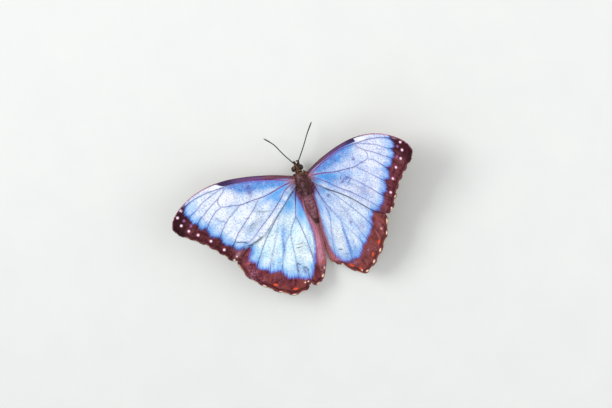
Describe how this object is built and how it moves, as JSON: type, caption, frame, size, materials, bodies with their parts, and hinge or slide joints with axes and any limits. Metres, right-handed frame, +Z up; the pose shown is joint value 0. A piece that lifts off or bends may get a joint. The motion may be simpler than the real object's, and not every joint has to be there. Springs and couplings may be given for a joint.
{
  "type": "blue morpho butterfly",
  "caption": "Life-size blue morpho butterfly at rest, wings half open, standing on its walking legs.",
  "frame": {"origin": "under the middle of the whole butterfly's box, at the level of its feet", "axes": "+Z up, +Y towards the head, +X to the butterfly's right"},
  "size_m": [0.1212, 0.0736, 0.0284],
  "materials": {
    "wing_scales": "icy blue sheen scales with dark brown borders above, mottled brown with eyespots below",
    "body_fur": "short dark maroon-brown fur",
    "horn": "satin dark brown chitin with flat scales",
    "eye": "glossy dark brown, finely faceted"
  },
  "bodies": {
    "root": {"forewing_left": "wing_scales", "forewing_right": "wing_scales", "hindwing_left": "wing_scales", "hindwing_right": "wing_scales", "head": "body_fur", "thorax": "body_fur", "abdomen": "body_fur", "palp_left": "body_fur", "palp_right": "body_fur", "foreleg_left": "body_fur", "foreleg_right": "body_fur", "antenna_left": "horn", "antenna_right": "horn", "proboscis": "horn", "midleg_left": "horn", "midleg_right": "horn", "hindleg_left": "horn", "hindleg_right": "horn", "eye_left": "eye", "eye_right": "eye"}
  },
  "joints": []
}
